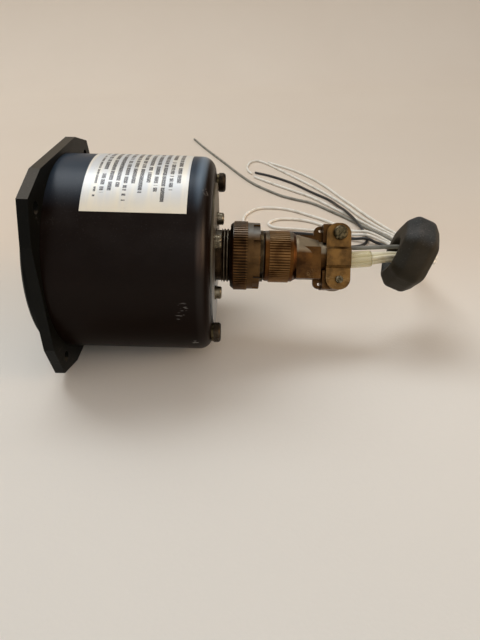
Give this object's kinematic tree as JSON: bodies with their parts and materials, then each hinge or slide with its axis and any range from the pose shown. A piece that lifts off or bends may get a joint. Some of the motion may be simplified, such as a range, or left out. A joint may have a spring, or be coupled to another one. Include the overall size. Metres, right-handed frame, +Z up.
{
  "type": "digital tachometer",
  "caption": "Digital tachometer for an instrument panel: round black case with a bolted flange, display window and push buttons, a screwed round connector, a cable clamp and loose leads.",
  "frame": {"origin": "centre of the bolt circle on the back face of the mounting flange, on the axis of the case", "axes": "+X runs along the case axis from the display to the connector, +Z is up as the display is read, and +Y is to the left of someone who reads the display"},
  "size_m": [0.1789, 0.3848, 0.083],
  "materials": {
    "black_metal": "black satin anodised",
    "window_smoke": "smoked clear plate",
    "black_rubber": "moulded",
    "digit_body": "moulded",
    "digit_segment": "unlit tinted resin",
    "clear_resin": "clear resin",
    "button_plastic": "moulded",
    "white_plastic": "moulded",
    "black_steel": "black oxide",
    "brass_bright": "turned",
    "contact_gold": "plated",
    "board_green": "lacquered laminate",
    "bright_steel": "plated",
    "regulator_tab": "tinned tab",
    "capacitor_sleeve": "shrunk sleeve",
    "lead_cover": "extruded cover",
    "lead_cover_grey": "extruded cover",
    "lead_cover_black": "extruded cover",
    "label_foil": "bare foil",
    "bare_aluminium": "bare, brushed",
    "receptacle_olive": "dark olive plating",
    "insert_plastic": "moulded",
    "nickel_screw": "nickel plated",
    "plug_bronze": "worn olive-brown plating",
    "saddle_bronze": "worn yellow-brown plating",
    "clamp_steel": "tarnished",
    "sleeve_clear": "aged clear tubing"
  },
  "bodies": {
    "instrument": {"bezel": "black_metal", "front_panel": "black_metal", "display_window": "window_smoke", "display_gasket": "black_rubber", "display_digits": "digit_body", "digit_segments": "digit_segment", "status_leds": "clear_resin", "led_spacers": "white_plastic", "button_switches": "digit_body", "panel_screws": "black_steel", "front_spacers": "brass_bright", "display_board": "board_green", "board_connector": "digit_body", "middle_spacers": "brass_bright", "main_board": "board_green", "board_screws": "bright_steel", "case_posts": "brass_bright", "microcontroller": "digit_body", "voltage_regulator": "regulator_tab", "capacitors": "capacitor_sleeve", "crystal": "bright_steel", "input_header": "white_plastic", "inner_leads": "lead_cover", "case_can": "black_metal", "label_foil": "label_foil", "rear_plate": "bare_aluminium", "case_screws": "black_steel", "case_washers": "bright_steel", "receptacle_shell": "receptacle_olive", "receptacle_insert": "insert_plastic", "contact_pins": "contact_gold", "receptacle_screws": "nickel_screw", "receptacle_washers": "nickel_screw", "receptacle_nuts": "bright_steel"},
    "left_button": {"button_left": "button_plastic"},
    "centre_button": {"button_centre": "button_plastic"},
    "right_button": {"button_right": "button_plastic"},
    "plug": {"plug_shell": "plug_bronze", "ring_clip": "black_steel", "plug_insert": "insert_plastic", "socket_contacts": "contact_gold", "plug_leads": "lead_cover", "end_bell": "plug_bronze", "clamp_body": "plug_bronze", "saddle_near": "saddle_bronze", "saddle_far": "saddle_bronze", "clamp_screws": "clamp_steel", "clamp_washers": "clamp_steel", "cable_sleeve": "sleeve_clear", "cable_grommet": "black_rubber", "lead_white_outer": "lead_cover", "lead_white_loop": "lead_cover", "lead_white_inner": "lead_cover", "lead_grey": "lead_cover_grey", "lead_white_low": "lead_cover", "lead_white_short": "lead_cover", "lead_black": "lead_cover_black"},
    "ring": {"coupling_ring": "plug_bronze"}
  },
  "joints": [
    {"name": "left_press", "type": "slide", "parent": "instrument", "child": "left_button", "axis": [1, 0, 0], "range_m": [0, 0.0012], "stiffness_N_per_m": 800, "springref_m": -0.0008},
    {"name": "centre_press", "type": "slide", "parent": "instrument", "child": "centre_button", "axis": [1, 0, 0], "range_m": [0, 0.0012], "stiffness_N_per_m": 800, "springref_m": -0.0008},
    {"name": "right_press", "type": "slide", "parent": "instrument", "child": "right_button", "axis": [1, 0, 0], "range_m": [0, 0.0012], "stiffness_N_per_m": 800, "springref_m": -0.0008},
    {"name": "plug_draw", "type": "slide", "parent": "instrument", "child": "plug", "axis": [1, 0, 0], "range_m": [0, 0.00635]},
    {"name": "ring_turn", "type": "hinge", "parent": "plug", "child": "ring", "pos_m": [0.07, 0, 0], "axis": [1, 0, 0], "range_deg": [0, 1800.5]}
  ],
  "couplings": [
    {"joint": "ring_turn", "follows": "plug_draw", "rad_per_m": 4947.4}
  ]
}
